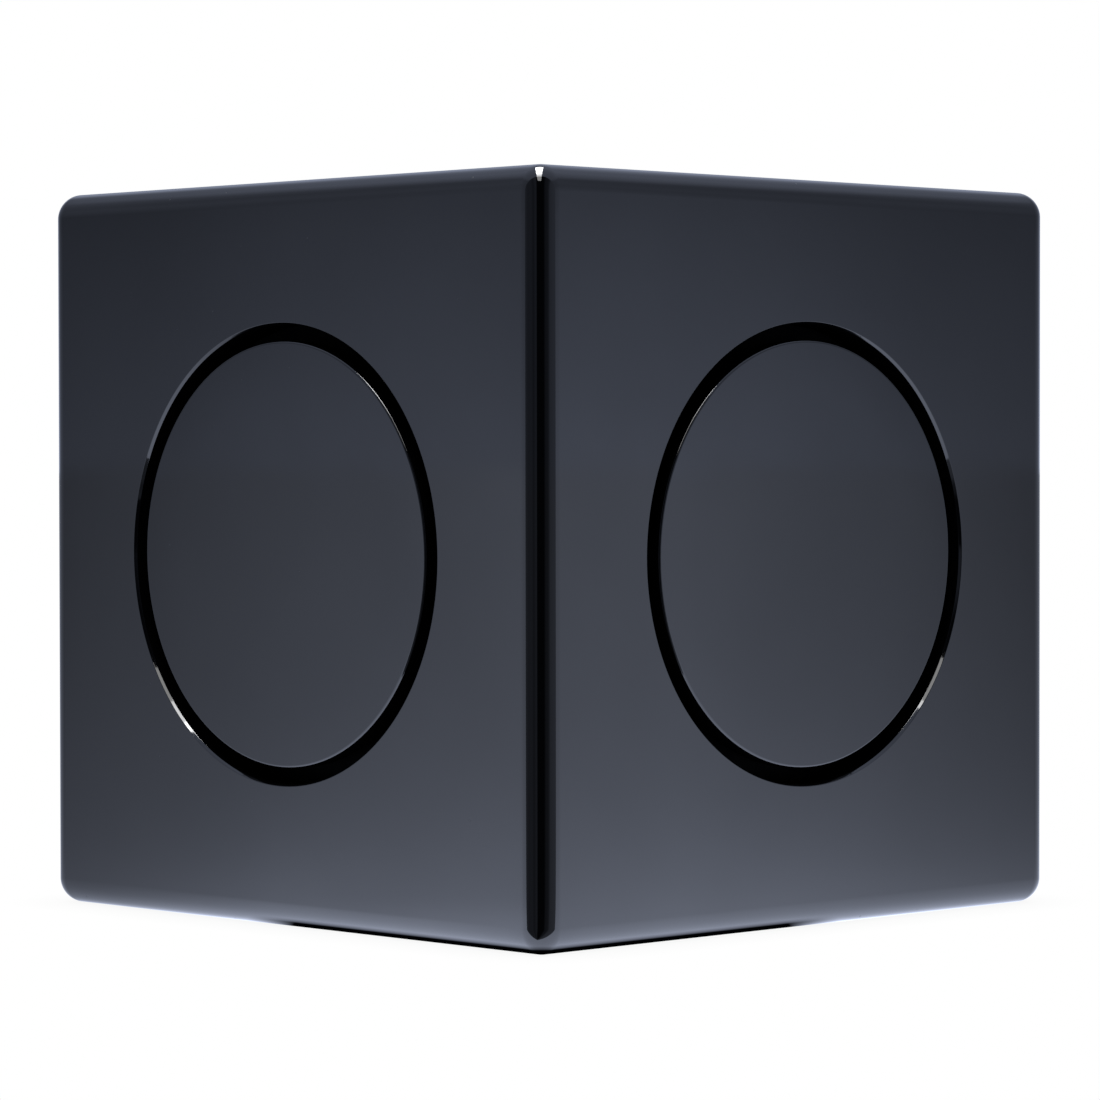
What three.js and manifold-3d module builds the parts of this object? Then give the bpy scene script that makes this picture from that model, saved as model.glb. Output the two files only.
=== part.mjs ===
// A glossy puzzle block: a closed cube with one turning disc set flush into each of its six faces.
// Inside, six screws run from a six-armed core through six sprung hubs, one behind each disc.
// Millimetres, +Z up. The origin is on the resting surface, under the middle of the block.

import * as THREE from "three";
import { RoundedBoxGeometry } from "three/addons/geometries/RoundedBoxGeometry.js";
import { mergeVertices } from "three/addons/utils/BufferGeometryUtils.js";
import Module from "manifold-3d";

// Block and casing
const SIDE = 57;
const HALF = SIDE / 2;
const EDGE_RADIUS = 2;
const EDGE_SEGMENTS = 3;
const WALL = 3;
const WALL_INSIDE = HALF - WALL; // from the middle of the block to a wall's inner face
const CORNER_POST = 4; // square posts inside the upright corners, which the base cover stops against

// Disc and the ring groove around it, which a fingernail reaches into to turn the disc
const DISC_RADIUS = 16.25;
const GROOVE_WIDTH = 1.25;
const HOLE_RADIUS = DISC_RADIUS + GROOVE_WIDTH;
const EDGE_BREAK = 0.2; // small chamfer on the disc's rim and on the hole's mouth
const DISC_TOP = HALF - 0.1; // the disc lies a hair below the face

// Gaps
const BOND_GAP = 0.3; // between two pieces that are fixed together
const RUNNING_GAP = 0.3; // radially, between a hub and the ring it turns in
const SEAT_GAP = 0.3; // along the axis, between a piece and what it rests on

// Seat ring, bonded behind each hole
const SEAT_TOP = WALL_INSIDE - BOND_GAP;
const SEAT_THICKNESS = 2;
const SEAT_RADIUS = 20.5;
const SEAT_BORE_RADIUS = 12.6;

// Hub: flange and bearing collar above, spring well below
const HUB_SEAT = SEAT_TOP + SEAT_GAP;
const HUB_FLANGE_RADIUS = 15.8;
const HUB_FLANGE = 0.9;
const HUB_TOP = HUB_SEAT + HUB_FLANGE;
const COLLAR_RADIUS = SEAT_BORE_RADIUS - RUNNING_GAP;
const COLLAR_BORE_RADIUS = 11;
const WEB_TOP = 22.6;
const WEB_BOTTOM = 21.4;
const WELL_RADIUS = 4.6;
const WELL_BORE_RADIUS = 3.4;
const WELL_FLOOR = 17.8;
const WELL_BOTTOM = 16.6;

// Cap: the visible disc, pressed into the hub
const CAP_BOTTOM = HUB_TOP + BOND_GAP;
const PLUG_RADIUS = COLLAR_BORE_RADIUS - BOND_GAP;
const PLUG_WALL = 1;
const PLUG_BOTTOM = 24.6;

// Screw, washer and spring
const SHANK_RADIUS = 1.25;
const SCREW_TIP = 7.5;
const SCREW_CONE = 1.2;
const HEAD_RADIUS = 2.9;
const HEAD_BOTTOM = 23.4;
const HEAD_TOP = 25;
const HEAD_CHAMFER = 0.5;
const RECESS_LENGTH = 3.2;
const RECESS_WIDTH = 0.7;
const RECESS_DEPTH = 1;
const WASHER_RADIUS = 3.1;
const WASHER_BORE_RADIUS = 1.5;
const WASHER_THICKNESS = 0.5;
const WASHER_TOP = HEAD_BOTTOM - SEAT_GAP;
const SPRING_WIRE_RADIUS = 0.3;
const SPRING_RADIUS = 2.5;
const SPRING_TURNS = 4.5;
const SPRING_BOTTOM = WELL_FLOOR + SEAT_GAP;
const SPRING_TOP = WASHER_TOP - WASHER_THICKNESS - SEAT_GAP;
const SCREW_HOLE_RADIUS = 1.6; // in the hub's well floor

// Core
const CORE_BALL_RADIUS = 7.5;
const ARM_RADIUS = 4.4;
const ARM_END = 15.6;
const ARM_BORE_RADIUS = SHANK_RADIUS + 0.1;
const ARM_BORE_BOTTOM = SCREW_TIP - 0.4;

// Base cover's snap tongues
const TONGUE_WIDTH = 8;
const TONGUE_THICKNESS = 1.2;
const TONGUE_TIP = 21.3; // from the middle of the block
const HOOK_REACH = 0.65;
const HOOK_HEIGHT = 1.4;
const POCKET_DEPTH = 0.9;
const POCKET_SPARE = 0.25; // how much wider and higher a pocket is than its hook

const OVERSHOOT = 1; // how far a cutting shape, or a piece to be joined, runs past the surface

// Segments around each round piece
const HOLE_SEGMENTS = 36;
const DISC_SEGMENTS = 32;
const HUB_SEGMENTS = 22;
const SMALL_SEGMENTS = 12;
const CORE_SEGMENTS = 16;
const CORE_BALL_ROWS = 10;
const WIRE_SIDES = 6;
const SPRING_STEPS = 40; // along the whole spring

const material = (color, roughness, metalness = 0) =>
  new THREE.MeshStandardMaterial({ color, roughness, metalness });
const MATERIALS = {
  gloss: material(0x0b0c0e, 0.06),
  bearing: material(0x0c0c0d, 0.45),
  core: material(0x2a2b2e, 0.5),
  steel: material(0xa9adb2, 0.3, 1),
  spring: material(0x8d9298, 0.35, 1),
};

// Each face's name and the rotation that turns +Z to the face's outward direction
const QUARTER = Math.PI / 2;
const FACES = {
  front: [QUARTER, 0, 0],
  back: [-QUARTER, 0, 0],
  right: [0, QUARTER, 0],
  left: [0, -QUARTER, 0],
  top: [0, 0, 0],
  bottom: [2 * QUARTER, 0, 0],
};

const wasm = await Module();
wasm.setup();

// A closed geometry as a solid that can be cut and joined.
function solidOf(geometry) {
  const bare = geometry.clone();
  bare.deleteAttribute("normal");
  bare.deleteAttribute("uv");
  const merged = mergeVertices(bare);
  return new wasm.Manifold(
    new wasm.Mesh({
      numProp: 3,
      vertProperties: merged.attributes.position.array,
      triVerts: new Uint32Array(merged.index.array),
    }),
  );
}

function geometryOf(solid) {
  const mesh = solid.getMesh();
  const geometry = new THREE.BufferGeometry();
  geometry.setAttribute("position", new THREE.BufferAttribute(mesh.vertProperties, 3));
  geometry.setIndex(new THREE.BufferAttribute(mesh.triVerts, 1));
  return geometry;
}

// A profile of [radius, height] points, given anticlockwise, turned about +Z.
function turned(profile, segments) {
  const points = profile.map(([radius, height]) => new THREE.Vector2(radius, height));
  return new THREE.LatheGeometry(points, segments).rotateX(QUARTER);
}

// A ring-shaped profile, which closes on itself away from the axis.
const turnedRing = (profile, segments) => turned([...profile, profile[0]], segments);

// A box given by its lowest and highest corners.
function boxBetween(low, high) {
  const size = high.map((value, axis) => value - low[axis]);
  const middle = high.map((value, axis) => (value + low[axis]) / 2);
  return new THREE.BoxGeometry(...size).translate(...middle);
}

// The same geometry, turned from +Z to a face.
const facing = (geometry, turn) =>
  geometry.clone().applyMatrix4(new THREE.Matrix4().makeRotationFromEuler(new THREE.Euler(...turn)));

// What a drill with a countersink would take out of a wall to make a disc's hole.
function holeCutter() {
  const below = WALL_INSIDE - WALL;
  const above = HALF + OVERSHOOT;
  return turned(
    [
      [0, below],
      [HOLE_RADIUS, below],
      [HOLE_RADIUS, HALF - EDGE_BREAK],
      [HOLE_RADIUS + EDGE_BREAK + OVERSHOOT, above],
      [0, above],
    ],
    HOLE_SEGMENTS,
  );
}

// The recess in a side wall that one hook of the base cover springs into.
function hookPocket() {
  const halfWidth = TONGUE_WIDTH / 2 + POCKET_SPARE;
  return boxBetween(
    [WALL_INSIDE - OVERSHOOT, -halfWidth, -TONGUE_TIP - HOOK_HEIGHT - POCKET_SPARE],
    [WALL_INSIDE + POCKET_DEPTH, halfWidth, -TONGUE_TIP + POCKET_SPARE],
  );
}

// Five-sided casing, open at the bottom.
function casing() {
  let shell = solidOf(new RoundedBoxGeometry(SIDE, SIDE, SIDE, EDGE_SEGMENTS, EDGE_RADIUS));
  const cavity = boxBetween(
    [-WALL_INSIDE, -WALL_INSIDE, -HALF - OVERSHOOT],
    [WALL_INSIDE, WALL_INSIDE, WALL_INSIDE],
  );
  shell = shell.subtract(solidOf(cavity));
  const postInside = WALL_INSIDE - CORNER_POST;
  const corner = boxBetween(
    [postInside, postInside, -WALL_INSIDE + BOND_GAP],
    [WALL_INSIDE + OVERSHOOT, WALL_INSIDE + OVERSHOOT, WALL_INSIDE + OVERSHOOT],
  );
  for (let quarter = 0; quarter < 4; quarter += 1) {
    const turn = quarter * QUARTER;
    shell = shell.add(solidOf(corner.clone().rotateZ(turn)));
    shell = shell.subtract(solidOf(hookPocket().rotateZ(turn)));
  }
  for (const [name, turn] of Object.entries(FACES)) {
    if (name !== "bottom") shell = shell.subtract(solidOf(facing(holeCutter(), turn)));
  }
  return geometryOf(shell);
}

// One snap tongue with its hook, standing on the cover beside the +X wall.
function tongue() {
  const outside = WALL_INSIDE - BOND_GAP;
  const profile = new THREE.Shape([
    new THREE.Vector2(outside - TONGUE_THICKNESS, -WALL_INSIDE - OVERSHOOT),
    new THREE.Vector2(outside, -WALL_INSIDE - OVERSHOOT),
    new THREE.Vector2(outside, -TONGUE_TIP - HOOK_HEIGHT),
    new THREE.Vector2(outside + HOOK_REACH, -TONGUE_TIP - HOOK_HEIGHT),
    new THREE.Vector2(outside, -TONGUE_TIP),
    new THREE.Vector2(outside - TONGUE_THICKNESS, -TONGUE_TIP),
  ]);
  return new THREE.ExtrudeGeometry(profile, { depth: TONGUE_WIDTH, bevelEnabled: false })
    .translate(0, 0, -TONGUE_WIDTH / 2)
    .rotateX(QUARTER);
}

// Square cover that closes the casing's open bottom and carries the sixth disc.
function baseCover() {
  const reach = WALL_INSIDE - BOND_GAP;
  let cover = solidOf(boxBetween([-reach, -reach, -HALF], [reach, reach, -WALL_INSIDE]));
  cover = cover.subtract(solidOf(facing(holeCutter(), FACES.bottom)));
  for (let quarter = 0; quarter < 4; quarter += 1) {
    cover = cover.add(solidOf(tongue().rotateZ(quarter * QUARTER)));
  }
  return geometryOf(cover);
}

// Ball with six arms, each bored for its screw.
function core() {
  let body = solidOf(new THREE.SphereGeometry(CORE_BALL_RADIUS, CORE_SEGMENTS, CORE_BALL_ROWS));
  const arm = new THREE.CylinderGeometry(ARM_RADIUS, ARM_RADIUS, 2 * ARM_END, CORE_SEGMENTS);
  arm.rotateX(QUARTER);
  const bore = turned(
    [
      [0, ARM_BORE_BOTTOM],
      [ARM_BORE_RADIUS, ARM_BORE_BOTTOM],
      [ARM_BORE_RADIUS, ARM_END + OVERSHOOT],
      [0, ARM_END + OVERSHOOT],
    ],
    SMALL_SEGMENTS,
  );
  for (const turn of [FACES.front, FACES.right, FACES.top]) {
    body = body.add(solidOf(facing(arm, turn)));
  }
  for (const turn of Object.values(FACES)) {
    body = body.subtract(solidOf(facing(bore, turn)));
  }
  return geometryOf(body);
}

// Ring behind the hole: its bore is the hub's bearing, and its top is the groove's floor.
function seatRing() {
  return turnedRing(
    [
      [SEAT_BORE_RADIUS, SEAT_TOP - SEAT_THICKNESS],
      [SEAT_RADIUS, SEAT_TOP - SEAT_THICKNESS],
      [SEAT_RADIUS, SEAT_TOP],
      [SEAT_BORE_RADIUS, SEAT_TOP],
    ],
    DISC_SEGMENTS,
  );
}

// Hub: the flange rests on the seat ring, the collar turns in its bore, the well holds the spring.
function hub() {
  return turnedRing(
    [
      [SCREW_HOLE_RADIUS, WELL_BOTTOM],
      [WELL_RADIUS, WELL_BOTTOM],
      [WELL_RADIUS, WEB_BOTTOM],
      [COLLAR_RADIUS, WEB_BOTTOM],
      [COLLAR_RADIUS, HUB_SEAT],
      [HUB_FLANGE_RADIUS, HUB_SEAT],
      [HUB_FLANGE_RADIUS, HUB_TOP],
      [COLLAR_BORE_RADIUS, HUB_TOP],
      [COLLAR_BORE_RADIUS, WEB_TOP],
      [WELL_BORE_RADIUS, WEB_TOP],
      [WELL_BORE_RADIUS, WELL_FLOOR],
      [SCREW_HOLE_RADIUS, WELL_FLOOR],
    ],
    HUB_SEGMENTS,
  );
}

// Cap: the polished disc, with a plug ring that presses into the hub's collar.
function cap() {
  return turned(
    [
      [0, CAP_BOTTOM],
      [PLUG_RADIUS - PLUG_WALL, CAP_BOTTOM],
      [PLUG_RADIUS - PLUG_WALL, PLUG_BOTTOM],
      [PLUG_RADIUS, PLUG_BOTTOM],
      [PLUG_RADIUS, CAP_BOTTOM],
      [DISC_RADIUS, CAP_BOTTOM],
      [DISC_RADIUS, DISC_TOP - EDGE_BREAK],
      [DISC_RADIUS - EDGE_BREAK, DISC_TOP],
      [0, DISC_TOP],
    ],
    DISC_SEGMENTS,
  );
}

// Pan-head screw with a cross recess.
function screw() {
  const blank = turned(
    [
      [0, SCREW_TIP],
      [SHANK_RADIUS, SCREW_TIP + SCREW_CONE],
      [SHANK_RADIUS, HEAD_BOTTOM],
      [HEAD_RADIUS, HEAD_BOTTOM],
      [HEAD_RADIUS, HEAD_TOP - HEAD_CHAMFER],
      [HEAD_RADIUS - HEAD_CHAMFER, HEAD_TOP],
      [0, HEAD_TOP],
    ],
    SMALL_SEGMENTS,
  );
  const slot = boxBetween(
    [-RECESS_LENGTH / 2, -RECESS_WIDTH / 2, HEAD_TOP - RECESS_DEPTH],
    [RECESS_LENGTH / 2, RECESS_WIDTH / 2, HEAD_TOP + OVERSHOOT],
  );
  const crossSlot = slot.clone().rotateZ(QUARTER);
  return geometryOf(solidOf(blank).subtract(solidOf(slot)).subtract(solidOf(crossSlot)));
}

function washer() {
  return turnedRing(
    [
      [WASHER_BORE_RADIUS, WASHER_TOP - WASHER_THICKNESS],
      [WASHER_RADIUS, WASHER_TOP - WASHER_THICKNESS],
      [WASHER_RADIUS, WASHER_TOP],
      [WASHER_BORE_RADIUS, WASHER_TOP],
    ],
    SMALL_SEGMENTS,
  );
}

// Centreline of a compression spring whose end turns lie flat.
class SpringLine extends THREE.Curve {
  getPoint(share, target = new THREE.Vector3()) {
    const turns = share * SPRING_TURNS;
    const rising = THREE.MathUtils.smoothstep(turns, 0.4, SPRING_TURNS - 0.4);
    const low = SPRING_BOTTOM + SPRING_WIRE_RADIUS;
    const high = SPRING_TOP - SPRING_WIRE_RADIUS;
    const angle = 2 * Math.PI * turns;
    return target.set(
      SPRING_RADIUS * Math.cos(angle),
      SPRING_RADIUS * Math.sin(angle),
      low + (high - low) * rising,
    );
  }
}

function spring() {
  const wire = new THREE.Shape().absarc(0, 0, SPRING_WIRE_RADIUS, 0, 2 * Math.PI);
  return new THREE.ExtrudeGeometry(wire, {
    extrudePath: new SpringLine(),
    steps: SPRING_STEPS,
    curveSegments: WIRE_SIDES / 2, // counted over half a circle
    bevelEnabled: false,
  });
}

const block = new THREE.Group();
block.position.z = HALF;

function place(name, geometry, finish, parent) {
  const mesh = new THREE.Mesh(geometry, finish);
  mesh.name = name;
  parent.add(mesh);
}

place("outer_casing", casing(), MATERIALS.gloss, block);
place("base_cover", baseCover(), MATERIALS.gloss, block);
place("six_arm_core", core(), MATERIALS.core, block);

for (const [name, turn] of Object.entries(FACES)) {
  const stack = new THREE.Group();
  stack.rotation.set(...turn);
  block.add(stack);
  place(`${name}_disc_cap`, cap(), MATERIALS.gloss, stack);
  place(`${name}_disc_hub`, hub(), MATERIALS.bearing, stack);
  place(`${name}_seat_ring`, seatRing(), MATERIALS.bearing, stack);
  place(`${name}_spring`, spring(), MATERIALS.spring, stack);
  place(`${name}_washer`, washer(), MATERIALS.steel, stack);
  place(`${name}_screw`, screw(), MATERIALS.steel, stack);
}

const part = new THREE.Group();
part.add(block);

export default part;
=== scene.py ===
import math

import bmesh
import bpy
from mathutils import Matrix, Vector


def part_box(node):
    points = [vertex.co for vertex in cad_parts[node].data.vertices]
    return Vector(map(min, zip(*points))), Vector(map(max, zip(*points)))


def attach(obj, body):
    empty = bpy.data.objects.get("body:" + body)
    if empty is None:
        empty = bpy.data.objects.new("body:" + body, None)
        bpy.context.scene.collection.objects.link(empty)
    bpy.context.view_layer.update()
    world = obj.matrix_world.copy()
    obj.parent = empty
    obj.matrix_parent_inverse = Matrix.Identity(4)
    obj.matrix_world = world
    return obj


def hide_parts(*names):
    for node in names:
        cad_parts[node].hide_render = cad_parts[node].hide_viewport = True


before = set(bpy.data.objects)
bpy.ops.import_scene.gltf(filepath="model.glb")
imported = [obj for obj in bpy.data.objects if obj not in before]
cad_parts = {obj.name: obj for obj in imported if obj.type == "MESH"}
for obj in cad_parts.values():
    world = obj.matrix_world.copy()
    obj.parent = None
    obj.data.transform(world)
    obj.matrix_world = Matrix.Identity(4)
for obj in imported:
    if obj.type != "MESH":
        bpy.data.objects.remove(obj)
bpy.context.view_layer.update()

# The looks of a glossy puzzle block with one flush turning disc in each of its six faces.
# Every piece is rebuilt smooth and soft-edged in the place that the frame gives its node. Metres.

MM = 0.001

# ---------------------------------------------------------------------------
# Driving sizes
# ---------------------------------------------------------------------------

CASING_LOW, CASING_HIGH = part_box("outer_casing")
CENTRE = (CASING_LOW + CASING_HIGH) / 2
HALF = (CASING_HIGH.x - CASING_LOW.x) / 2
EDGE_RADIUS = 2.0 * MM
WALL_INSIDE = HALF - 3.0 * MM
CORNER_POST = 4.0 * MM
BOND_GAP = 0.3 * MM

DISC_RADIUS = (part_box("top_disc_cap")[1].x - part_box("top_disc_cap")[0].x) / 2
HOLE_RADIUS = DISC_RADIUS + 1.25 * MM
RIM_ROUND = 0.20 * MM
BEVEL_WIDTH = 0.22 * MM
BEVEL_LEAN = math.radians(56)  # of the bevel's normal, from the face's
BEVEL_ROUND = 0.05 * MM
BEVEL_DEPTH = BEVEL_WIDTH * math.sin(BEVEL_LEAN) + BEVEL_ROUND

TONGUE_WIDTH = 8.0 * MM
TONGUE_THICKNESS = 1.2 * MM
TONGUE_TIP = 21.3 * MM
HOOK_REACH = 0.65 * MM
HOOK_HEIGHT = 1.4 * MM
POCKET_DEPTH = 0.9 * MM
POCKET_SPARE = 0.25 * MM

# Radii of the turned pieces, and heights measured from a piece's own ends
CAP_THICKNESS = 1.6 * MM
CAP_PLUG = 10.7 * MM
CAP_PLUG_WALL = 1.0 * MM
HUB_SCREW_HOLE = 1.6 * MM
HUB_WELL = 3.4 * MM
HUB_WELL_FLOOR = 1.2 * MM
HUB_STEM = 4.6 * MM
HUB_WEB_BOTTOM = 4.8 * MM
HUB_WEB_TOP = 6.0 * MM
HUB_BORE = 11.0 * MM
HUB_COLLAR = 12.3 * MM
HUB_FLANGE = 15.8 * MM
HUB_FLANGE_THICKNESS = 0.9 * MM
SEAT_INNER = 12.6 * MM
SEAT_OUTER = 20.5 * MM
WASHER_INNER = 1.5 * MM
WASHER_OUTER = 3.1 * MM
SCREW_SHANK = 1.25 * MM
SCREW_POINT = 1.2 * MM
SCREW_HEAD = 2.9 * MM
SCREW_HEAD_HEIGHT = 1.6 * MM
RECESS_LONG = 1.6 * MM
RECESS_WIDE = 0.35 * MM
RECESS_DEPTH = 1.0 * MM
WIRE_RADIUS = 0.3 * MM
COIL_RADIUS = 2.5 * MM
COIL_TURNS = 4.5
COIL_FLAT_TURNS = 0.4
CORE_BALL = 7.5 * MM
CORE_ARM = 4.4 * MM
CORE_BORE = 1.35 * MM
CORE_BORE_MOUTH = 1.75 * MM
CORE_BORE_START = 7.1 * MM
CORE_BORE_BEVEL = 0.2 * MM
CUT_SPARE = 1.0 * MM  # how far a cutting or joining tool reaches past what it works on

# Edge roundings of the inner pieces
FINE = 0.1 * MM
SMALL = 0.15 * MM
SOFT = 0.2 * MM
FULL = 0.3 * MM

FACE_TURNS = {
    "front": Matrix.Rotation(math.pi / 2, 4, "X"),
    "back": Matrix.Rotation(-math.pi / 2, 4, "X"),
    "right": Matrix.Rotation(math.pi / 2, 4, "Y"),
    "left": Matrix.Rotation(-math.pi / 2, 4, "Y"),
    "top": Matrix.Identity(4),
    "bottom": Matrix.Rotation(math.pi, 4, "X"),
}
SIDES = ("front", "back", "right", "left")

# How finely round shapes are divided
FACE_SPOKES = 192  # round a face's hole; a multiple of 8, so that spokes meet the corners
FILLET_STEPS = 12  # over half of a rounded edge
RIM_STEPS = 5
TURNED_SEGMENTS = 128
BALL_SEGMENTS = 64
BALL_ROWS = 32
SMALL_SEGMENTS = 48
COIL_STEPS = 216
WIRE_SIDES = 12


def in_place(face):
    """The matrix from a disc's own axis, with z from the block's middle, to the frame."""
    return Matrix.Translation(CENTRE) @ FACE_TURNS[face]


def depth_range(node, face):
    """A node's nearest and farthest reach from the block's middle along a face's axis."""
    low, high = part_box(node)
    axis = FACE_TURNS[face] @ Vector((0, 0, 1))
    reaches = sorted(((low - CENTRE).dot(axis), (high - CENTRE).dot(axis)))
    return reaches[0], reaches[1]


# ---------------------------------------------------------------------------
# Mesh helpers
# ---------------------------------------------------------------------------


class Patchwork:
    """Collects faces given by their corner points, and welds them into one mesh."""

    WELD = 0.5e-6

    def __init__(self):
        self.bm = bmesh.new()

    def face(self, *points):
        self.bm.faces.new([self.bm.verts.new(p) for p in points])

    def strip(self, first, second, closed=True):
        """Quads between two rows of points."""
        count = len(first)
        for i in range(count if closed else count - 1):
            j = (i + 1) % count
            self.face(first[i], first[j], second[j], second[i])

    def grid(self, rows):
        for first, second in zip(rows, rows[1:]):
            self.strip(first, second, closed=False)

    def add(self, other, matrix):
        """A transformed copy of another patchwork."""
        for face in other.bm.faces:
            self.face(*[matrix @ v.co for v in face.verts])

    def mesh(self, name):
        bmesh.ops.remove_doubles(self.bm, verts=self.bm.verts, dist=self.WELD)
        bmesh.ops.dissolve_degenerate(self.bm, edges=self.bm.edges, dist=self.WELD)
        bmesh.ops.recalc_face_normals(self.bm, faces=self.bm.faces)
        data = bpy.data.meshes.new(name)
        self.bm.to_mesh(data)
        self.bm.free()
        data.shade_smooth()
        return data


def new_object(name, data):
    obj = bpy.data.objects.new(name, data)
    bpy.context.scene.collection.objects.link(obj)
    return obj


def softened(outline, closed, steps=4):
    """An outline of (radius, height, rounding) corners with each corner rounded by its arc."""
    points = []
    count = len(outline)
    for i, (x, y, rounding) in enumerate(outline):
        here = Vector((x, y))
        at_end = not closed and i in (0, count - 1)
        if at_end or rounding == 0:
            points.append(here)
            continue
        before = (Vector(outline[i - 1][:2]) - here).normalized()
        after = (Vector(outline[(i + 1) % count][:2]) - here).normalized()
        half_angle = before.angle(after) / 2
        middle = here + (before + after).normalized() * rounding / math.sin(half_angle)
        start = here + before * rounding / math.tan(half_angle) - middle
        end = here + after * rounding / math.tan(half_angle) - middle
        turn = start.angle_signed(end)
        for step in range(steps + 1):
            spin = Matrix.Rotation(-turn * step / steps, 2)
            points.append(middle + spin @ start)
    return points


def turned(outline, closed, segments, matrix):
    """A patchwork turned about the z axis from an outline of corners."""
    work = Patchwork()
    profile = softened(outline, closed)
    if closed:
        profile.append(profile[0])
    angles = [2 * math.pi * i / segments for i in range(segments)]

    def ring(point):
        radius, height = point
        return [matrix @ Vector((radius * math.cos(a), radius * math.sin(a), height)) for a in angles]

    for lower, upper in zip(profile, profile[1:]):
        if lower[0] < 1e-9:
            tip = matrix @ Vector((0, 0, lower[1]))
            rim = ring(upper)
            for i in range(segments):
                work.face(tip, rim[(i + 1) % segments], rim[i])
        elif upper[0] < 1e-9:
            tip = matrix @ Vector((0, 0, upper[1]))
            rim = ring(lower)
            for i in range(segments):
                work.face(rim[i], rim[(i + 1) % segments], tip)
        else:
            work.strip(ring(lower), ring(upper))
    return work


def box_object(name, low, high, matrix=Matrix.Identity(4)):
    """A plain box, used only to cut or join."""
    bm = bmesh.new()
    bmesh.ops.create_cube(bm, size=1)
    size = Vector(high) - Vector(low)
    middle = (Vector(high) + Vector(low)) / 2
    place = matrix @ Matrix.Translation(middle) @ Matrix.Diagonal((*size, 1))
    bmesh.ops.transform(bm, matrix=place, verts=bm.verts)
    data = bpy.data.meshes.new(name)
    bm.to_mesh(data)
    bm.free()
    return new_object(name, data)


def combine(obj, tools, operation):
    """Joins or cuts obj with each tool in turn, for good, and removes the tools."""
    for tool in tools:
        modifier = obj.modifiers.new("combine", "BOOLEAN")
        modifier.operation = operation
        modifier.solver = "EXACT"
        modifier.object = tool
        depsgraph = bpy.context.evaluated_depsgraph_get()
        data = bpy.data.meshes.new_from_object(obj.evaluated_get(depsgraph))
        obj.modifiers.clear()
        obj.data = data
        bpy.data.objects.remove(tool)


def finish_surface(obj):
    """Flat areas stay truly flat in reflections, and rounded edges stay smooth."""
    obj.data.shade_smooth()
    obj.data.set_sharp_from_angle(angle=math.radians(40))
    modifier = obj.modifiers.new("flat_faces", "WEIGHTED_NORMAL")
    modifier.mode = "FACE_AREA"
    modifier.weight = 100
    modifier.keep_sharp = True


# ---------------------------------------------------------------------------
# Casing
# ---------------------------------------------------------------------------


def spokes():
    """Each spoke's direction round a face, as (cosine, sine)."""
    return [
        (math.cos(2 * math.pi * i / FACE_SPOKES), math.sin(2 * math.pi * i / FACE_SPOKES))
        for i in range(FACE_SPOKES)
    ]


def circle(radius, height):
    return [Vector((radius * c, radius * s, height)) for c, s in spokes()]


def square(half, height):
    """Where the spokes meet a square."""
    points = []
    for c, s in spokes():
        reach = half / max(abs(c), abs(s))
        points.append(Vector((reach * c, reach * s, height)))
    return points


def between(inner, outer, share):
    return [a.lerp(b, share) for a, b in zip(inner, outer)]


def bevelled_mouth(top):
    """A hole's mouth in profile, from its wall to the flat face, as (radius, height) points. A flat bevel
    with a slight round at each side."""
    foot = Vector((HOLE_RADIUS + BEVEL_ROUND, top - BEVEL_DEPTH))
    leans = [math.pi / 2 + (BEVEL_LEAN - math.pi / 2) * i / RIM_STEPS for i in range(RIM_STEPS + 1)]
    points = [foot + Vector((-math.sin(a), math.cos(a))) * BEVEL_ROUND for a in leans]
    along = Vector((math.cos(BEVEL_LEAN), math.sin(BEVEL_LEAN))) * BEVEL_WIDTH
    start = points[-1]
    points += [start + along * share for share in (0.1, 0.5, 0.9, 1.0)]
    head = foot + along
    leans = [BEVEL_LEAN * (1 - i / RIM_STEPS) for i in range(1, RIM_STEPS + 1)]
    points += [head + Vector((-math.sin(a), math.cos(a))) * BEVEL_ROUND for a in leans]
    return points


def hole_and_flat(work, flat_half, top, hole_bottom):
    """A flat face with a round hole: the hole's wall, its bevelled mouth and the flat round it."""
    rings = [circle(HOLE_RADIUS, hole_bottom)]
    rings += [circle(radius, height) for radius, height in bevelled_mouth(top)]
    mouth = rings[-1]
    edge = square(flat_half, top)
    rings += [between(mouth, edge, share) for share in (0.15, 0.45, 0.75)]
    rings.append(edge)
    for inner, outer in zip(rings, rings[1:]):
        work.strip(inner, outer)


def rounded_border(work):
    """A face's half of its four rounded edges, and its third of its four rounded corners."""
    flat = HALF - EDGE_RADIUS
    leans = [math.pi / 4 * step / FILLET_STEPS for step in range(FILLET_STEPS + 1)]
    quarter = FACE_SPOKES // 4
    edge = square(flat, 0)
    one_side = [edge[i % FACE_SPOKES] for i in range(-quarter // 2, quarter // 2 + 1)]
    side_rows = []
    for lean in leans:
        across, up = flat + EDGE_RADIUS * math.sin(lean), flat + EDGE_RADIUS * math.cos(lean)
        side_rows.append([Vector((across, p.y, up)) for p in one_side])
    corner_rows = []
    for a in leans:
        row = [Vector((math.tan(a), math.tan(b), 1)).normalized() * EDGE_RADIUS for b in leans]
        corner_rows.append([Vector((flat, flat, flat)) + p for p in row])
    piece = Patchwork()
    piece.grid(side_rows)
    piece.grid(corner_rows)
    for turn in range(4):
        work.add(piece, Matrix.Rotation(turn * math.pi / 2, 4, "Z"))
    piece.bm.free()


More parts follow.
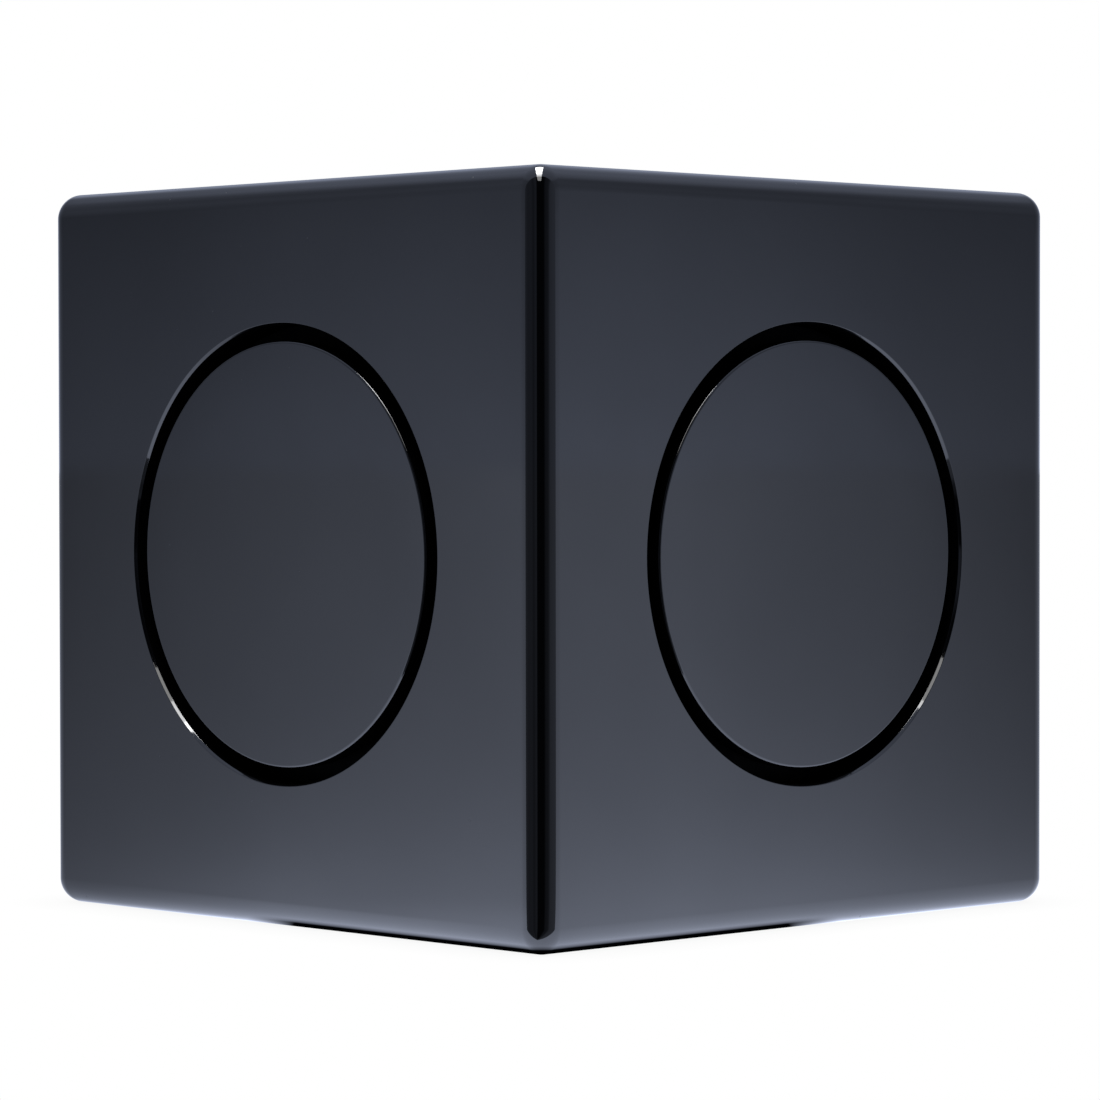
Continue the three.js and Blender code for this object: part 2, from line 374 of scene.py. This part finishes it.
def inner_wall(work, down):
    """A wall's inner face. A side wall's reaches down to the open bottom."""
    rim = circle(HOLE_RADIUS, WALL_INSIDE)
    border = []
    for point in square(1.0, 0):
        lowered = point.xy.dot(down) > 0 and down.length > 0
        along = point.xy.dot(down) * (HALF if lowered else WALL_INSIDE)
        across = (point.xy - down * point.xy.dot(down)) * WALL_INSIDE
        border.append(Vector((*(across + down * along), WALL_INSIDE)))
    rings = [rim] + [between(rim, border, share) for share in (0.3, 0.7)] + [border]
    for inner, outer in zip(rings, rings[1:]):
        work.strip(outer, inner)


def casing():
    whole = Patchwork()
    for face, turn in FACE_TURNS.items():
        work = Patchwork()
        rounded_border(work)
        if face == "bottom":
            work.strip(square(WALL_INSIDE, HALF), square(HALF - EDGE_RADIUS, HALF))
        else:
            hole_and_flat(work, HALF - EDGE_RADIUS, HALF, WALL_INSIDE)
            down = (turn.inverted() @ Vector((0, 0, -1))).xy
            inner_wall(work, down if down.length > 0.5 else Vector((0, 0)))
        whole.add(work, in_place(face))
        work.bm.free()
    obj = new_object("casing_shell", whole.mesh("casing_shell"))

    posts = []
    pockets = []
    inside = WALL_INSIDE - CORNER_POST
    half_pocket = TONGUE_WIDTH / 2 + POCKET_SPARE
    for quarter in range(4):
        turn = Matrix.Translation(CENTRE) @ Matrix.Rotation(quarter * math.pi / 2, 4, "Z")
        posts.append(
            box_object(
                "post",
                (inside, inside, -WALL_INSIDE + BOND_GAP),
                (WALL_INSIDE + CUT_SPARE,) * 3,
                turn,
            )
        )
        pockets.append(
            box_object(
                "pocket",
                (WALL_INSIDE - CUT_SPARE, -half_pocket, -TONGUE_TIP - HOOK_HEIGHT - POCKET_SPARE),
                (WALL_INSIDE + POCKET_DEPTH, half_pocket, -TONGUE_TIP + POCKET_SPARE),
                turn,
            )
        )
    combine(obj, posts, "UNION")
    combine(obj, pockets, "DIFFERENCE")
    finish_surface(obj)
    return obj


def tongue(name, matrix):
    """One snap tongue with its hook, standing on the cover beside a wall."""
    outside = WALL_INSIDE - BOND_GAP
    side = [
        (outside - TONGUE_THICKNESS, -WALL_INSIDE - CUT_SPARE),
        (outside, -WALL_INSIDE - CUT_SPARE),
        (outside, -TONGUE_TIP - HOOK_HEIGHT),
        (outside + HOOK_REACH, -TONGUE_TIP - HOOK_HEIGHT),
        (outside, -TONGUE_TIP),
        (outside - TONGUE_THICKNESS, -TONGUE_TIP),
    ]
    work = Patchwork()
    near = [matrix @ Vector((x, -TONGUE_WIDTH / 2, z)) for x, z in side]
    far = [matrix @ Vector((x, TONGUE_WIDTH / 2, z)) for x, z in side]
    work.strip(near, far)
    work.face(*near)
    work.face(*reversed(far))
    return new_object(name, work.mesh(name))


def cover():
    """The plate that closes the bottom, with its own hole and four snap tongues."""
    reach = WALL_INSIDE - BOND_GAP
    work = Patchwork()
    hole_and_flat(work, reach - SMALL, HALF, WALL_INSIDE)
    work.strip(square(reach - SMALL, HALF), square(reach, HALF - SMALL))
    work.strip(square(reach, HALF - SMALL), square(reach, WALL_INSIDE))
    work.strip(square(reach, WALL_INSIDE), circle(HOLE_RADIUS, WALL_INSIDE))
    whole = Patchwork()
    whole.add(work, in_place("bottom"))
    work.bm.free()
    obj = new_object("cover_plate", whole.mesh("cover_plate"))
    turns = [Matrix.Translation(CENTRE) @ Matrix.Rotation(q * math.pi / 2, 4, "Z") for q in range(4)]
    combine(obj, [tongue("tongue", turn) for turn in turns], "UNION")
    finish_surface(obj)
    return obj


# ---------------------------------------------------------------------------
# Turned pieces, one of each behind every face
# ---------------------------------------------------------------------------


def cap(face):
    """The polished disc with the plug ring that holds it in the hub."""
    bottom, top = depth_range(f"{face}_disc_cap", face)
    under = top - CAP_THICKNESS
    plug_inside = CAP_PLUG - CAP_PLUG_WALL
    outline = [
        (0, under, 0),
        (plug_inside, under, FINE),
        (plug_inside, bottom, SMALL),
        (CAP_PLUG, bottom, SMALL),
        (CAP_PLUG, under, FINE),
        (DISC_RADIUS, under, SOFT),
        (DISC_RADIUS, top, RIM_ROUND),
        (DISC_RADIUS * 0.75, top, 0),
        (DISC_RADIUS * 0.5, top, 0),
        (DISC_RADIUS * 0.25, top, 0),
        (0, top, 0),
    ]
    name = f"{face}_cap_disc"
    obj = new_object(name, turned(outline, False, TURNED_SEGMENTS, in_place(face)).mesh(name))
    finish_surface(obj)
    return obj


def ring_piece(name, face, outline):
    obj = new_object(name, turned(outline, True, TURNED_SEGMENTS, in_place(face)).mesh(name))
    finish_surface(obj)
    return obj


def hub(face):
    """The flange rests on the seat ring, the collar turns in its bore, and the well holds the spring."""
    bottom, top = depth_range(f"{face}_disc_hub", face)
    soft = 0.12 * MM
    web_bottom, web_top = bottom + HUB_WEB_BOTTOM, bottom + HUB_WEB_TOP
    flange_bottom, well_floor = top - HUB_FLANGE_THICKNESS, bottom + HUB_WELL_FLOOR
    outline = [
        (HUB_SCREW_HOLE, bottom, soft),
        (HUB_STEM, bottom, FULL),
        (HUB_STEM, web_bottom, 0.5 * MM),
        (HUB_COLLAR, web_bottom, FULL),
        (HUB_COLLAR, flange_bottom, soft),
        (HUB_FLANGE, flange_bottom, soft),
        (HUB_FLANGE, top, soft),
        (HUB_BORE, top, soft),
        (HUB_BORE, web_top, FULL),
        (HUB_WELL, web_top, SOFT),
        (HUB_WELL, well_floor, SOFT),
        (HUB_SCREW_HOLE, well_floor, soft),
    ]
    return ring_piece(f"{face}_hub_turning", face, outline)


def seat_ring(face):
    bottom, top = depth_range(f"{face}_seat_ring", face)
    outline = [
        (SEAT_INNER, bottom, SOFT),
        (SEAT_OUTER, bottom, FULL),
        (SEAT_OUTER, top, FINE),
        (SEAT_INNER, top, SOFT),
    ]
    return ring_piece(f"{face}_seat", face, outline)


def washer(face):
    bottom, top = depth_range(f"{face}_washer", face)
    soft = 0.08 * MM
    outline = [
        (WASHER_INNER, bottom, soft),
        (WASHER_OUTER, bottom, soft),
        (WASHER_OUTER, top, soft),
        (WASHER_INNER, top, soft),
    ]
    return ring_piece(f"{face}_washer_flat", face, outline)


def screw(face):
    """A pan-head screw with a cross recess."""
    tip, top = depth_range(f"{face}_screw", face)
    head_bottom = top - SCREW_HEAD_HEIGHT
    outline = [
        (0, tip, 0),
        (SCREW_SHANK, tip + SCREW_POINT, SOFT),
        (SCREW_SHANK, head_bottom, SMALL),
        (SCREW_HEAD, head_bottom, FINE),
        (SCREW_HEAD, top, 0.6 * MM),
        (0, top, 0),
    ]
    name = f"{face}_screw_pan_head"
    obj = new_object(name, turned(outline, False, SMALL_SEGMENTS, in_place(face)).mesh(name))
    slots = [
        box_object("slot", (-x, -y, top - RECESS_DEPTH), (x, y, top + CUT_SPARE), in_place(face))
        for x, y in ((RECESS_LONG, RECESS_WIDE), (RECESS_WIDE, RECESS_LONG))
    ]
    combine(obj, slots, "DIFFERENCE")
    finish_surface(obj)
    return obj


def spring(face):
    """A compression spring whose end turns lie flat."""
    bottom, top = depth_range(f"{face}_spring", face)
    low, high = bottom + WIRE_RADIUS, top - WIRE_RADIUS
    up = Vector((0, 0, 1))
    round_wire = [2 * math.pi * side / WIRE_SIDES for side in range(WIRE_SIDES)]
    work = Patchwork()
    rings = []
    for step in range(COIL_STEPS + 1):
        turn = COIL_TURNS * step / COIL_STEPS
        share = (turn - COIL_FLAT_TURNS) / (COIL_TURNS - 2 * COIL_FLAT_TURNS)
        share = min(max(share, 0.0), 1.0)
        height = low + (high - low) * share * share * (3 - 2 * share)
        angle = 2 * math.pi * turn
        out = Vector((math.cos(angle), math.sin(angle), 0))
        middle = out * COIL_RADIUS + up * height
        section = [(out * math.cos(a) + up * math.sin(a)) * WIRE_RADIUS for a in round_wire]
        rings.append([in_place(face) @ (middle + p) for p in section])
    for first, second in zip(rings, rings[1:]):
        work.strip(first, second)
    work.face(*rings[0])
    work.face(*reversed(rings[-1]))
    name = f"{face}_spring_coil"
    obj = new_object(name, work.mesh(name))
    finish_surface(obj)
    return obj


def core():
    """A ball with six arms, each bored for its screw."""
    arm_end = depth_range("six_arm_core", "top")[1]
    leans = [math.pi * row / BALL_ROWS for row in range(BALL_ROWS + 1)]
    ball = [(CORE_BALL * math.sin(a), -CORE_BALL * math.cos(a), 0) for a in leans]
    arm = [(0, 0, 0), (CORE_ARM, 0, 0), (CORE_ARM, arm_end, FULL), (0, arm_end, 0)]
    bore = [
        (0, CORE_BORE_START, 0),
        (CORE_BORE, CORE_BORE_START, 0),
        (CORE_BORE, arm_end - CORE_BORE_BEVEL, 0),
        (CORE_BORE_MOUTH, arm_end + CORE_BORE_BEVEL, 0),
        (0, arm_end + CORE_BORE_BEVEL, 0),
    ]

    def turned_mesh(outline, face, name):
        return turned(outline, False, SMALL_SEGMENTS, in_place(face)).mesh(name)

    whole_ball = turned(ball, False, BALL_SEGMENTS, in_place("top"))
    obj = new_object("core_six_arm", whole_ball.mesh("core_six_arm"))
    arms = [turned_mesh(arm, face, "arm") for face in FACE_TURNS]
    bores = [turned_mesh(bore, face, "bore") for face in FACE_TURNS]
    combine(obj, [new_object("arm", data) for data in arms], "UNION")
    combine(obj, [new_object("bore", data) for data in bores], "DIFFERENCE")
    finish_surface(obj)
    return obj


# ---------------------------------------------------------------------------
# Materials
# ---------------------------------------------------------------------------


class Nodes:
    """Short calls for building a shader node tree."""

    def __init__(self, tree):
        self.tree = tree
        tree.nodes.clear()

    def node(self, kind, **settings):
        made = self.tree.nodes.new(kind)
        for key, value in settings.items():
            setattr(made, key, value)
        return made

    def feed(self, socket, value):
        if isinstance(value, bpy.types.NodeSocket):
            self.tree.links.new(value, socket)
        else:
            socket.default_value = value

    def math(self, operation, *values, clamp=False):
        made = self.node("ShaderNodeMath", operation=operation, use_clamp=clamp)
        for socket, value in zip(made.inputs, values):
            self.feed(socket, value)
        return made.outputs[0]

    def choose(self, switch, off, on):
        made = self.node("ShaderNodeMix", data_type="FLOAT")
        self.feed(made.inputs["Factor"], switch)
        for socket, value in zip((made.inputs[2], made.inputs[3]), (off, on)):
            self.feed(socket, value)
        return made.outputs[0]

    def length(self, x, y):
        squares = [self.math("MULTIPLY", value, value) for value in (x, y)]
        return self.math("SQRT", self.math("ADD", *squares))

    def dot(self, vector, constant):
        made = self.node("ShaderNodeVectorMath", operation="DOT_PRODUCT")
        self.feed(made.inputs[0], vector)
        made.inputs[1].default_value = constant
        return made.outputs["Value"]

    def remap(self, value, low, high, to_low=0.0, to_high=1.0, smooth=False):
        """Runs from to_low to to_high as the value runs from low to high, and stops there."""
        shape = "SMOOTHSTEP" if smooth else "LINEAR"
        made = self.node("ShaderNodeMapRange", interpolation_type=shape)
        for socket, v in zip(made.inputs, (value, low, high, to_low, to_high)):
            self.feed(socket, v)
        return made.outputs[0]

    def steps(self, value, stops):
        """A level that runs through (position, level) stops. Positions lie between 0 and 1."""
        made = self.node("ShaderNodeValToRGB")
        ramp = made.color_ramp
        while len(ramp.elements) < len(stops):
            ramp.elements.new(1.0)
        for element, (position, level) in zip(ramp.elements, stops):
            element.position = position
            element.color = (level, level, level, 1)
        self.feed(made.inputs[0], value)
        return made.outputs[0]

    def noise(self, vector, scale, detail=2.0, roughness=0.5):
        made = self.node("ShaderNodeTexNoise")
        self.feed(made.inputs["Vector"], vector)
        made.inputs["Scale"].default_value = scale
        made.inputs["Detail"].default_value = detail
        made.inputs["Roughness"].default_value = roughness
        return made.outputs["Fac"]

    def mix(self, factor, first, second):
        made = self.node("ShaderNodeMix", data_type="RGBA")
        self.feed(made.inputs["Factor"], factor)
        for socket, value in zip((made.inputs[6], made.inputs[7]), (first, second)):
            self.feed(socket, value)
        return made.outputs[2]


def piano_black():
    """Polished black plastic: a faint orange-peel ripple, hazy wiping marks and a little dust."""
    material = bpy.data.materials.new("piano_black")
    material.use_nodes = True
    n = Nodes(material.node_tree)
    place = n.node("ShaderNodeTexCoord").outputs["Object"]
    shader = n.node("ShaderNodeBsdfPrincipled")
    shader.inputs["IOR"].default_value = 1.5

    # Colour: nearly black, with a slow drift and dust specks
    drift = n.noise(place, 60.0, detail=3.0)
    base = n.mix(drift, (0.0004, 0.0004, 0.0005, 1), (0.0008, 0.0008, 0.0010, 1))
    cells = n.node("ShaderNodeTexVoronoi", feature="F1")
    n.feed(cells.inputs["Vector"], place)
    cells.inputs["Scale"].default_value = 900.0
    chosen = n.math("GREATER_THAN", n.dot(cells.outputs["Color"], (1, 0, 0)), 0.90)
    speck_size = n.remap(n.dot(cells.outputs["Color"], (0, 1, 0)), 0, 1, 0.04, 0.09)
    dust = n.math("MULTIPLY", chosen, n.math("LESS_THAN", cells.outputs["Distance"], speck_size))
    colour = n.mix(dust, base, (0.010, 0.010, 0.011, 1))
    n.feed(shader.inputs["Base Color"], colour)

    # Roughness: a polish that is a little hazier where it has been wiped
    haze = n.noise(place, 140.0, detail=5.0, roughness=0.6)
    wiped = n.remap(haze, 0.35, 0.75, 0.035, 0.07)
    n.feed(shader.inputs["Roughness"], n.math("ADD", wiped, n.math("MULTIPLY", dust, 0.4)))
    n.feed(shader.inputs["Specular IOR Level"], n.remap(drift, 0.3, 0.7, 0.48, 0.52))

    # Bump: orange peel
    peel = n.noise(place, 900.0, detail=2.0)
    bump = n.node("ShaderNodeBump")
    bump.inputs["Strength"].default_value = 0.02
    bump.inputs["Distance"].default_value = 0.02 * MM
    n.feed(bump.inputs["Height"], peel)
    n.feed(shader.inputs["Normal"], bump.outputs[0])

    out = n.node("ShaderNodeOutputMaterial")
    n.feed(out.inputs["Surface"], shader.outputs[0])
    return material


def plain(name, colour, roughness, metallic=0.0, specular=0.5):
    """A working finish for the pieces inside: mottled colour and a fine grain."""
    material = bpy.data.materials.new(name)
    material.use_nodes = True
    n = Nodes(material.node_tree)
    place = n.node("ShaderNodeTexCoord").outputs["Object"]
    shader = n.node("ShaderNodeBsdfPrincipled")
    shader.inputs["Metallic"].default_value = metallic
    shader.inputs["Specular IOR Level"].default_value = specular
    shade = n.noise(place, 400.0, detail=4.0)
    darker = (*[c * 0.8 for c in colour], 1)
    lighter = (*[min(c * 1.2, 1.0) for c in colour], 1)
    n.feed(shader.inputs["Base Color"], n.mix(shade, darker, lighter))
    n.feed(shader.inputs["Roughness"], n.remap(shade, 0.3, 0.7, roughness - 0.06, roughness + 0.06))
    bump = n.node("ShaderNodeBump")
    bump.inputs["Strength"].default_value = 0.2
    bump.inputs["Distance"].default_value = 0.02 * MM
    n.feed(bump.inputs["Height"], n.noise(place, 5000.0, detail=2.0))
    n.feed(shader.inputs["Normal"], bump.outputs[0])
    out = n.node("ShaderNodeOutputMaterial")
    n.feed(out.inputs["Surface"], shader.outputs[0])
    return material


def give(obj, material):
    obj.data.materials.clear()
    obj.data.materials.append(material)


def line(obj, faces, is_inside):
    """Unpolished black that reflects nothing, for a gloss piece's hidden surfaces and for the walls of
    its groove. On the groove walls this black is painted shade for the deep groove. is_inside judges a
    place by the face's own radius and height."""
    obj.data.materials.append(lining_painted_shade)
    back = [in_place(face).inverted() for face in faces]
    for polygon in obj.data.polygons:
        places = [matrix @ polygon.center for matrix in back]
        if any(is_inside(math.hypot(p.x, p.y), p.z) for p in places):
            polygon.material_index = 1


# ---------------------------------------------------------------------------
# Studio
# ---------------------------------------------------------------------------

# The camera, from the block's middle in half-sides, and where it looks
CAMERA_PLACE = Vector((8.980, -8.716, 0.2815))
CAMERA_HEADING = math.radians(135.839)
CAMERA_PITCH = math.radians(-1.309)
CAMERA_ROLL = math.radians(-0.080)
SENSOR = 36.0
FOCAL = 144.96

# The tent's open side faces this way. Unit vectors on the floor: out of the opening, and to its right
OPENING_HEADING = math.radians(-46)
OUTWARDS = Vector((math.cos(OPENING_HEADING), math.sin(OPENING_HEADING), 0))
RIGHTWARDS = Vector((-OUTWARDS.y, OUTWARDS.x, 0))
FRONT_CORNER = Vector((HALF, -HALF, 0))
TENT_END = 0.41  # the opening starts where this share of a direction points outwards
TABLE_REACH = 6.0
CONTACT_REACH = 5 * MM
TENT_TINT = (0.87, 0.98, 1.30, 1)
TABLE_TINT = (0.87, 0.96, 1.22, 1)
LIGHT_HEIGHT = 0.60
LIGHT_WIDTH = 0.17
LIGHT_SIDE = -0.035


# Levels of light as (position, level) stops. Positions run from 0 to 1.
# From left to right across the dim room beyond the opening
OPEN_ROOM_LEVELS = [
    (0.0, 0.30),
    (0.05, 0.26),
    (0.10, 0.19),
    (0.20, 0.20),
    (0.26, 0.13),
    (0.33, 0.20),
    (0.365, 0.20),
    (0.385, 0.015),
    (0.62, 0.015),
    (0.65, 0.06),
    (0.68, 0.11),
    (0.75, 0.13),
    (0.79, 0.20),
    (0.82, 0.36),
    (0.93, 0.44),
    (1.0, 0.45),
]
# From the wall opposite the opening to the opening
TENT_DEPTH_LEVELS = [
    (0.0, 1.0),
    (0.1, 0.8),
    (0.2, 0.5),
    (0.442, 0.5),
    (0.458, 0.62),
    (0.473, 0.86),
    (0.488, 1.0),
    (1.0, 1.0),
]
# From the horizon to straight up
WALL_LEVELS = [(0.0, 0.89), (0.018, 0.77), (0.042, 0.62), (0.058, 0.51), (0.17, 0.47), (1.0, 0.5)]
CEILING_LEVELS = [(0.0, 0.50), (0.3, 0.44), (0.58, 0.45), (0.66, 0.66), (0.72, 0.74), (1.0, 0.85)]
# From the wall opposite the opening to straight above, as a multiple of the ceiling
BACK_GLOW_LEVELS = [
    (0.0, 1.875),
    (0.15, 1.875),
    (0.25, 1.2),
    (0.31, 0.85),
    (0.42, 0.825),
    (0.52, 0.975),
    (1.0, 1.0),
]

# Area lights above the block: name, how far each reaches outwards and inwards, and radiance
SOFTBOXES = [
    ("softbox", 0.18, -0.29, 32.0),
    ("softbox_edge", 0.30, 0.18, 14.0),
    ("softbox_spill", 0.60, 0.30, 5.0),
]


def camera():
    forward = Vector(
        (
            math.cos(CAMERA_HEADING) * math.cos(CAMERA_PITCH),
            math.sin(CAMERA_HEADING) * math.cos(CAMERA_PITCH),
            math.sin(CAMERA_PITCH),
        )
    )
    level_right = forward.cross(Vector((0, 0, 1))).normalized()
    level_up = level_right.cross(forward)
    right = level_right * math.cos(CAMERA_ROLL) + level_up * math.sin(CAMERA_ROLL)
    up = right.cross(forward)
    data = bpy.data.cameras.new("camera")
    data.sensor_width = SENSOR
    data.lens = FOCAL
    data.clip_start = 0.01
    data.clip_end = 50.0
    obj = new_object("camera", data)
    turn = Matrix((right, up, -forward)).transposed().to_4x4()
    obj.matrix_world = Matrix.Translation(CENTRE + CAMERA_PLACE * HALF) @ turn
    bpy.context.scene.camera = obj


def open_room(n, side):
    """How bright the dim room beyond the tent's opening is. It is black in the middle."""
    return n.steps(n.remap(side, -1, 1), OPEN_ROOM_LEVELS)


def tent_depth(n, front):
    """How the tent's walls dim with depth."""
    return n.steps(n.remap(front, -1, 1), TENT_DEPTH_LEVELS)


def two_views(n, lit, seen, tree_output):
    """The lit shader for light, and the seen one for what the camera sees directly."""
    choose = n.node("ShaderNodeMixShader")
    n.feed(choose.inputs[0], n.node("ShaderNodeLightPath").outputs["Is Camera Ray"])
    n.feed(choose.inputs[1], lit.outputs[0])
    n.feed(choose.inputs[2], seen.outputs[0])
    n.feed(n.node(tree_output).inputs["Surface"], choose.outputs[0])


def studio_world():
    """Seen directly the surroundings are plain white. As light they are a white tent round the block,
    open on one side, whose walls dim with height and depth."""
    world = bpy.data.worlds.new("studio")
    bpy.context.scene.world = world
    world.use_nodes = True
    n = Nodes(world.node_tree)
    towards_where = n.node("ShaderNodeTexCoord").outputs["Generated"]
    height = n.dot(towards_where, (0, 0, 1))
    front = n.dot(towards_where, tuple(OUTWARDS))
    side = n.dot(towards_where, tuple(RIGHTWARDS))
    by_height = n.steps(height, WALL_LEVELS)
    right_boost = n.remap(side, -0.3, 0.3, 1.0, 1.24, smooth=True)
    by_depth = tent_depth(n, front)
    walls = n.math("MULTIPLY", n.math("MULTIPLY", by_height, by_depth), right_boost)
    ceiling = n.steps(height, CEILING_LEVELS)
    low_ceiling = n.remap(front, -0.22, -0.10, 0.80, 1.05)
    dimmed = n.choose(n.remap(height, 0.50, 0.66), low_ceiling, 1.0)
    glow = n.steps(n.remap(front, -1, 0), BACK_GLOW_LEVELS)
    glow = n.choose(n.remap(height, 0.25, 0.42), 1.0, glow)
    ceiling = n.math("MULTIPLY", n.math("MULTIPLY", ceiling, dimmed), glow)
    walls = n.choose(n.remap(height, 0.05, 0.35), walls, ceiling)
    beyond = n.math("GREATER_THAN", front, TENT_END)
    level = n.choose(beyond, walls, open_room(n, side))
    lit = n.node("ShaderNodeBackground")
    lit.inputs["Color"].default_value = TENT_TINT
    n.feed(lit.inputs["Strength"], level)
    seen = n.node("ShaderNodeBackground")
    seen.inputs["Color"].default_value = (1, 1, 1, 1)
    two_views(n, lit, seen, "ShaderNodeOutputWorld")


def table_light(n, place):
    """The light coming off the table: a pool round the block that fades outwards and backwards,
    the block's own shade under its edges, and the dim room beyond the tent's opening."""
    # Distance from the block's footprint, and how far a place lies inside it
    from_x = n.math("SUBTRACT", n.math("ABSOLUTE", n.dot(place, (1, 0, 0))), HALF)
    from_y = n.math("SUBTRACT", n.math("ABSOLUTE", n.dot(place, (0, 1, 0))), HALF)
    away = n.length(n.math("MAXIMUM", from_x, 0.0), n.math("MAXIMUM", from_y, 0.0))
    inwards = [n.math("MAXIMUM", n.math("ADD", d, EDGE_RADIUS), 0.0) for d in (from_x, from_y)]
    under = n.math("SUBTRACT", n.length(*inwards), EDGE_RADIUS)

    # Position from the front corner: ahead of it, to its side, and as shares of the distance
    ahead = n.math("SUBTRACT", n.dot(place, tuple(OUTWARDS)), FRONT_CORNER.dot(OUTWARDS))
    side = n.dot(place, tuple(RIGHTWARDS))
    from_middle = n.math("ABSOLUTE", side)
    reach = n.math("MAXIMUM", n.length(ahead, side), 1e-4)
    front_share = n.math("DIVIDE", ahead, reach)
    side_share = n.math("DIVIDE", side, reach)

    # The pool of light
    far_level = n.remap(side, -0.05, 0.05, 0.86, 1.07, smooth=True)
    near_level = n.remap(side, -0.045, -0.015, 2.5, 3.0, smooth=True)
    pool = n.math("POWER", n.math("ADD", n.math("DIVIDE", away, 0.030), 1.0), -0.85)
    level = n.choose(pool, far_level, near_level)

    # Depth behind the front corner, in widths that grow to the side
    width = n.math("ADD", n.math("MULTIPLY", from_middle, 0.108), 0.043)
    depth = n.math("DIVIDE", n.math("MULTIPLY", ahead, -1.0), width)
    level = n.math("MULTIPLY", level, n.remap(depth, 0.25, 1.0, 1.0, 0.45))
    on_left = n.remap(side, -0.02, 0.0, 1.0, 0.0)
    level = n.math("MULTIPLY", level, n.choose(on_left, 1.0, n.remap(depth, 0.05, 0.25, 1.15, 1.0)))
    far_foot = n.math("MULTIPLY", pool, n.remap(depth, 0.45, 0.75, 0.0, 0.3))
    level = n.math("MULTIPLY", level, n.math("SUBTRACT", 1.0, n.math("MULTIPLY", on_left, far_foot)))

    # Contact shade
    shade = n.remap(from_middle, 19 * MM, 23 * MM, 0.0, 0.9)
    shade = n.choose(n.remap(under, -0.9 * MM, -0.3 * MM), shade, 1.0)
    level = n.math("MULTIPLY", level, shade)

    beyond = n.math("GREATER_THAN", front_share, TENT_END)
    return n.choose(beyond, level, open_room(n, side_share))


def floor():
    """A pale table. Seen directly it is white, with a faint contact shadow."""
    work = Patchwork()
    corners = ((-TABLE_REACH, -TABLE_REACH), (TABLE_REACH, -TABLE_REACH))
    corners += ((TABLE_REACH, TABLE_REACH), (-TABLE_REACH, TABLE_REACH))
    work.face(*[Vector((x, y, 0)) for x, y in corners])
    obj = new_object("floor", work.mesh("floor"))

    material = bpy.data.materials.new("pale_table")
    material.use_nodes = True
    n = Nodes(material.node_tree)
    place = n.node("ShaderNodeNewGeometry").outputs["Position"]
    lit = n.node("ShaderNodeEmission")
    lit.inputs["Color"].default_value = TABLE_TINT
    n.feed(lit.inputs["Strength"], table_light(n, place))
    seen = n.node("ShaderNodeEmission")
    seen.inputs["Color"].default_value = (1, 1, 1, 1)
    contact = n.node("ShaderNodeAmbientOcclusion", samples=8)
    contact.inputs["Distance"].default_value = CONTACT_REACH
    n.feed(seen.inputs["Strength"], n.remap(contact.outputs["AO"], 0.0, 1.0, 0.92, 1.0))
    two_views(n, lit, seen, "ShaderNodeOutputMaterial")
    give(obj, material)


def overhead_light(name, nearest, farthest, radiance):
    """A soft box above the block. Its reach is given outwards, towards the tent's opening."""
    length = nearest - farthest
    data = bpy.data.lights.new(name, "AREA")
    data.shape = "RECTANGLE"
    data.size = LIGHT_WIDTH
    data.size_y = length
    data.energy = radiance * math.pi * LIGHT_WIDTH * length
    obj = new_object(name, data)
    middle = OUTWARDS * (nearest + farthest) / 2 + RIGHTWARDS * LIGHT_SIDE
    middle.z = LIGHT_HEIGHT
    turn = Matrix((RIGHTWARDS, OUTWARDS, Vector((0, 0, 1)))).transposed().to_4x4()
    obj.matrix_world = Matrix.Translation(middle) @ turn
    obj.visible_camera = False


# ---------------------------------------------------------------------------
# Assembly
# ---------------------------------------------------------------------------

black = piano_black()
# Painted shade: a black with no reflection at all. It keeps the groove's walls as dark as the deep
# groove's shade, and on truly hidden faces it is only an unpolished finish.
lining_painted_shade = plain("unpolished_black_painted_shade", (0.0006, 0.0006, 0.0007), 0.7, specular=0.0)
bearing = plain("bearing_black", (0.0008, 0.0008, 0.0009), 0.60, specular=0.02)
core_grey = plain("core_grey", (0.03, 0.031, 0.034), 0.5)
zinc = plain("zinc_steel", (0.60, 0.61, 0.63), 0.30, metallic=1.0)
wire = plain("spring_wire", (0.50, 0.51, 0.53), 0.35, metallic=1.0)


def put(piece, material, body, node):
    """A new piece takes over from a CAD node."""
    give(piece, material)
    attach(piece, body)
    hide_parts(node)


def behind_wall(radius, height):
    return abs(height) < WALL_INSIDE + 0.01 * MM


def in_hole(radius, height):
    return radius < HOLE_RADIUS + 0.01 * MM and WALL_INSIDE < height < HALF - BEVEL_DEPTH


def hidden_in_cover(radius, height):
    return in_hole(radius, height) or behind_wall(radius, height)


shell = casing()
bottom_cover = cover()
put(shell, black, "casing", "outer_casing")
put(bottom_cover, black, "casing", "base_cover")
# The hole walls of the shell and of the cover take the painted-shade lining.
line(shell, SIDES + ("top",), in_hole)
line(bottom_cover, ("bottom",), hidden_in_cover)
for face in FACE_TURNS:
    disc = cap(face)
    put(disc, black, f"{face}_disc", f"{face}_disc_cap")
    polished_from = depth_range(f"{face}_disc_cap", face)[1] - RIM_ROUND
    # The disc's side in the groove and its underside take the painted-shade lining.
    line(disc, (face,), lambda radius, height: height < polished_from)
    put(hub(face), bearing, f"{face}_disc", f"{face}_disc_hub")
    put(seat_ring(face), bearing, "casing", f"{face}_seat_ring")
    put(screw(face), zinc, "casing", f"{face}_screw")
    put(washer(face), zinc, "casing", f"{face}_washer")
    put(spring(face), wire, "casing", f"{face}_spring")
put(core(), core_grey, "casing", "six_arm_core")

camera()
studio_world()
floor()
for name, nearest, farthest, radiance in SOFTBOXES:
    overhead_light(name, nearest, farthest, radiance)
bpy.context.scene.view_settings.view_transform = "Standard"
bpy.context.scene.view_settings.look = "None"
